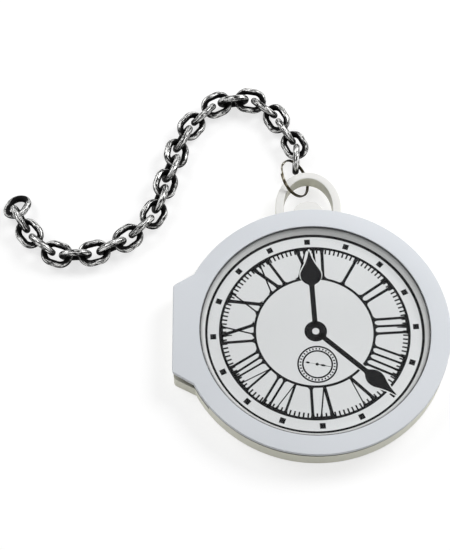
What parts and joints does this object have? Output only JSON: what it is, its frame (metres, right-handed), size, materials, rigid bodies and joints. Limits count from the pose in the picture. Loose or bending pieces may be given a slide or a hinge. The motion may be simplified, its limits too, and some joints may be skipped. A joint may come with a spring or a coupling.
{
  "type": "giant pocket watch",
  "caption": "Oversized show pocket watch: hinged round case with a printed dial behind a lens, bow, crown, split ring and an interlinked oval link chain.",
  "frame": {"origin": "centre of the flat back of the case, on the plane that it rests on", "axes": "+Z out of the back towards the dial, +Y from the centre towards the crown and bow, +X to the right of the dial"},
  "size_m": [0.2245, 0.2101, 0.0165],
  "materials": {
    "shell": "smooth moulded cream plastic",
    "frame": "satin pearl plastic",
    "bow": "smooth moulded cream plastic",
    "lens": "clear polished plastic",
    "rehaut": "glossy",
    "dial": "printed card-like face",
    "back_plate": "smooth moulded plastic",
    "steel": "plain",
    "ring_nickel": "bright nickel plate",
    "chain_silver": "hammered antique silver with dark hollows"
  },
  "bodies": {
    "case": {"rear_shell": "shell", "hinge_pin": "steel", "bow": "bow", "crown": "bow"},
    "cover": {"front_frame": "frame", "window_lens": "lens", "rehaut_ring": "rehaut", "dial_disc": "dial", "lid_back_plate": "back_plate", "lid_screws": "steel"},
    "split_ring": {"split_ring": "ring_nickel"},
    "link_01": {"link_01": "chain_silver"},
    "link_02": {"link_02": "chain_silver"},
    "link_03": {"link_03": "chain_silver"},
    "link_04": {"link_04": "chain_silver"},
    "link_05": {"link_05": "chain_silver"},
    "link_06": {"link_06": "chain_silver"},
    "link_07": {"link_07": "chain_silver"},
    "link_08": {"link_08": "chain_silver"},
    "link_09": {"link_09": "chain_silver"},
    "link_10": {"link_10": "chain_silver"},
    "link_11": {"link_11": "chain_silver"},
    "link_12": {"link_12": "chain_silver"},
    "link_13": {"link_13": "chain_silver"},
    "link_14": {"link_14": "chain_silver"},
    "link_15": {"link_15": "chain_silver"},
    "link_16": {"link_16": "chain_silver"},
    "link_17": {"link_17": "chain_silver"},
    "link_18": {"link_18": "chain_silver"},
    "link_19": {"link_19": "chain_silver"},
    "link_20": {"link_20": "chain_silver"},
    "link_21": {"link_21": "chain_silver"},
    "link_22": {"link_22": "chain_silver"},
    "link_23": {"link_23": "chain_silver"},
    "link_24": {"link_24": "chain_silver"},
    "link_25": {"link_25": "chain_silver"},
    "link_26": {"link_26": "chain_silver"}
  },
  "joints": [
    {"name": "cover_hinge", "type": "hinge", "parent": "case", "child": "cover", "pos_m": [-0.0676, 0, 0.0096], "axis": [0, -1, 0], "range_deg": [0, 95]},
    {"name": "ring_swing", "type": "hinge", "parent": "case", "child": "split_ring", "pos_m": [-0.008, 0.0866, 0.00665], "axis": [0.8553, 0.5182, 0], "range_deg": [-10, 50]},
    {"name": "link_01_swing", "type": "hinge", "parent": "split_ring", "child": "link_01", "pos_m": [-0.00725, 0.09783, 0.00666], "axis": [-0.6786, 0.178, 0.7126], "range_deg": [-20, 30]},
    {"name": "link_02_swing", "type": "hinge", "parent": "link_01", "child": "link_02", "pos_m": [-0.00675, 0.10719, 0.00665], "axis": [0, 0, -1], "range_deg": [-15, 45]},
    {"name": "link_03_swing", "type": "hinge", "parent": "link_02", "child": "link_03", "pos_m": [-0.01054, 0.11532, 0.00628], "axis": [-0.8925, -0.4162, -0.1736], "range_deg": [-45, 20]},
    {"name": "link_04_swing", "type": "hinge", "parent": "link_03", "child": "link_04", "pos_m": [-0.01556, 0.12333, 0.00636], "axis": [-0.2962, -0.171, 0.9397], "range_deg": [-45, 15]},
    {"name": "link_05_swing", "type": "hinge", "parent": "link_04", "child": "link_05", "pos_m": [-0.02018, 0.13166, 0.0059], "axis": [0.7927, 0.4394, 0.4226], "range_deg": [-20, 45]},
    {"name": "link_06_swing", "type": "hinge", "parent": "link_05", "child": "link_06", "pos_m": [-0.02837, 0.13652, 0.0062], "axis": [0.2717, 0.3237, -0.9063], "range_deg": [-15, 45]},
    {"name": "link_07_swing", "type": "hinge", "parent": "link_06", "child": "link_07", "pos_m": [-0.03716, 0.13807, 0.00606], "axis": [-0.1632, -0.9254, -0.342], "range_deg": [-45, 20]},
    {"name": "link_08_swing", "type": "hinge", "parent": "link_07", "child": "link_08", "pos_m": [-0.04627, 0.13548, 0.00649], "axis": [0.036, -0.2563, 0.9659], "range_deg": [-45, 15]},
    {"name": "link_09_swing", "type": "hinge", "parent": "link_08", "child": "link_09", "pos_m": [-0.05433, 0.13119, 0.00606], "axis": [-0.4412, 0.8297, 0.342], "range_deg": [-20, 45]},
    {"name": "link_10_swing", "type": "hinge", "parent": "link_09", "child": "link_10", "pos_m": [-0.0599, 0.12354, 0.0062], "axis": [-0.304, 0.2936, -0.9063], "range_deg": [-45, 45]},
    {"name": "link_11_swing", "type": "hinge", "parent": "link_10", "child": "link_11", "pos_m": [-0.06584, 0.11621, 0.0059], "axis": [0.7043, -0.5704, -0.4226], "range_deg": [-45, 20]},
    {"name": "link_12_swing", "type": "hinge", "parent": "link_11", "child": "link_12", "pos_m": [-0.06889, 0.10729, 0.0062], "axis": [0.383, -0.1786, 0.9063], "range_deg": [-45, 45]},
    {"name": "link_13_swing", "type": "hinge", "parent": "link_12", "child": "link_13", "pos_m": [-0.07049, 0.0982, 0.0059], "axis": [-0.8925, 0.1574, 0.4226], "range_deg": [-20, 45]},
    {"name": "link_14_swing", "type": "hinge", "parent": "link_13", "child": "link_14", "pos_m": [-0.07396, 0.08926, 0.006], "axis": [-0.4755, 0.1545, -0.866], "range_deg": [-45, 45]},
    {"name": "link_15_swing", "type": "hinge", "parent": "link_14", "child": "link_15", "pos_m": [-0.07657, 0.08014, 0.0057], "axis": [0.8325, -0.2387, -0.5], "range_deg": [-45, 20]},
    {"name": "link_16_swing", "type": "hinge", "parent": "link_15", "child": "link_16", "pos_m": [-0.0792, 0.07098, 0.0062], "axis": [0.4062, -0.1165, 0.9063], "range_deg": [-45, 45]},
    {"name": "link_17_swing", "type": "hinge", "parent": "link_16", "child": "link_17", "pos_m": [-0.08382, 0.06265, 0.0059], "axis": [-0.7927, 0.4394, 0.4226], "range_deg": [-20, 45]},
    {"name": "link_18_swing", "type": "hinge", "parent": "link_17", "child": "link_18", "pos_m": [-0.09125, 0.05639, 0.0062], "axis": [-0.304, 0.2936, -0.9063], "range_deg": [-45, 45]},
    {"name": "link_19_swing", "type": "hinge", "parent": "link_18", "child": "link_19", "pos_m": [-0.09866, 0.05039, 0.00606], "axis": [0.5914, -0.7303, -0.342], "range_deg": [-45, 20]},
    {"name": "link_20_swing", "type": "hinge", "parent": "link_19", "child": "link_20", "pos_m": [-0.10759, 0.04675, 0.00649], "axis": [0.1175, -0.2306, 0.9659], "range_deg": [-45, 45]},
    {"name": "link_21_swing", "type": "hinge", "parent": "link_20", "child": "link_21", "pos_m": [-0.11675, 0.04412, 0.00619], "axis": [-0.2662, 0.9285, 0.2588], "range_deg": [-20, 45]},
    {"name": "link_22_swing", "type": "hinge", "parent": "link_21", "child": "link_22", "pos_m": [-0.12641, 0.04448, 0.00649], "axis": [-0.0135, 0.2585, -0.9659], "range_deg": [-45, 45]},
    {"name": "link_23_swing", "type": "hinge", "parent": "link_22", "child": "link_23", "pos_m": [-0.13537, 0.04774, 0.00606], "axis": [-0.3214, -0.883, -0.342], "range_deg": [-45, 20]},
    {"name": "link_24_swing", "type": "hinge", "parent": "link_23", "child": "link_24", "pos_m": [-0.14185, 0.05521, 0.00636], "axis": [-0.2244, -0.2581, 0.9397], "range_deg": [-45, 45]},
    {"name": "link_25_swing", "type": "hinge", "parent": "link_24", "child": "link_25", "pos_m": [-0.14771, 0.06272, 0.00606], "axis": [0.7405, 0.5785, 0.342], "range_deg": [-20, 45]},
    {"name": "link_26_swing", "type": "hinge", "parent": "link_25", "child": "link_26", "pos_m": [-0.15162, 0.0715, 0.00649], "axis": [0.2285, 0.1215, -0.9659], "range_deg": [-45, 30]}
  ]
}
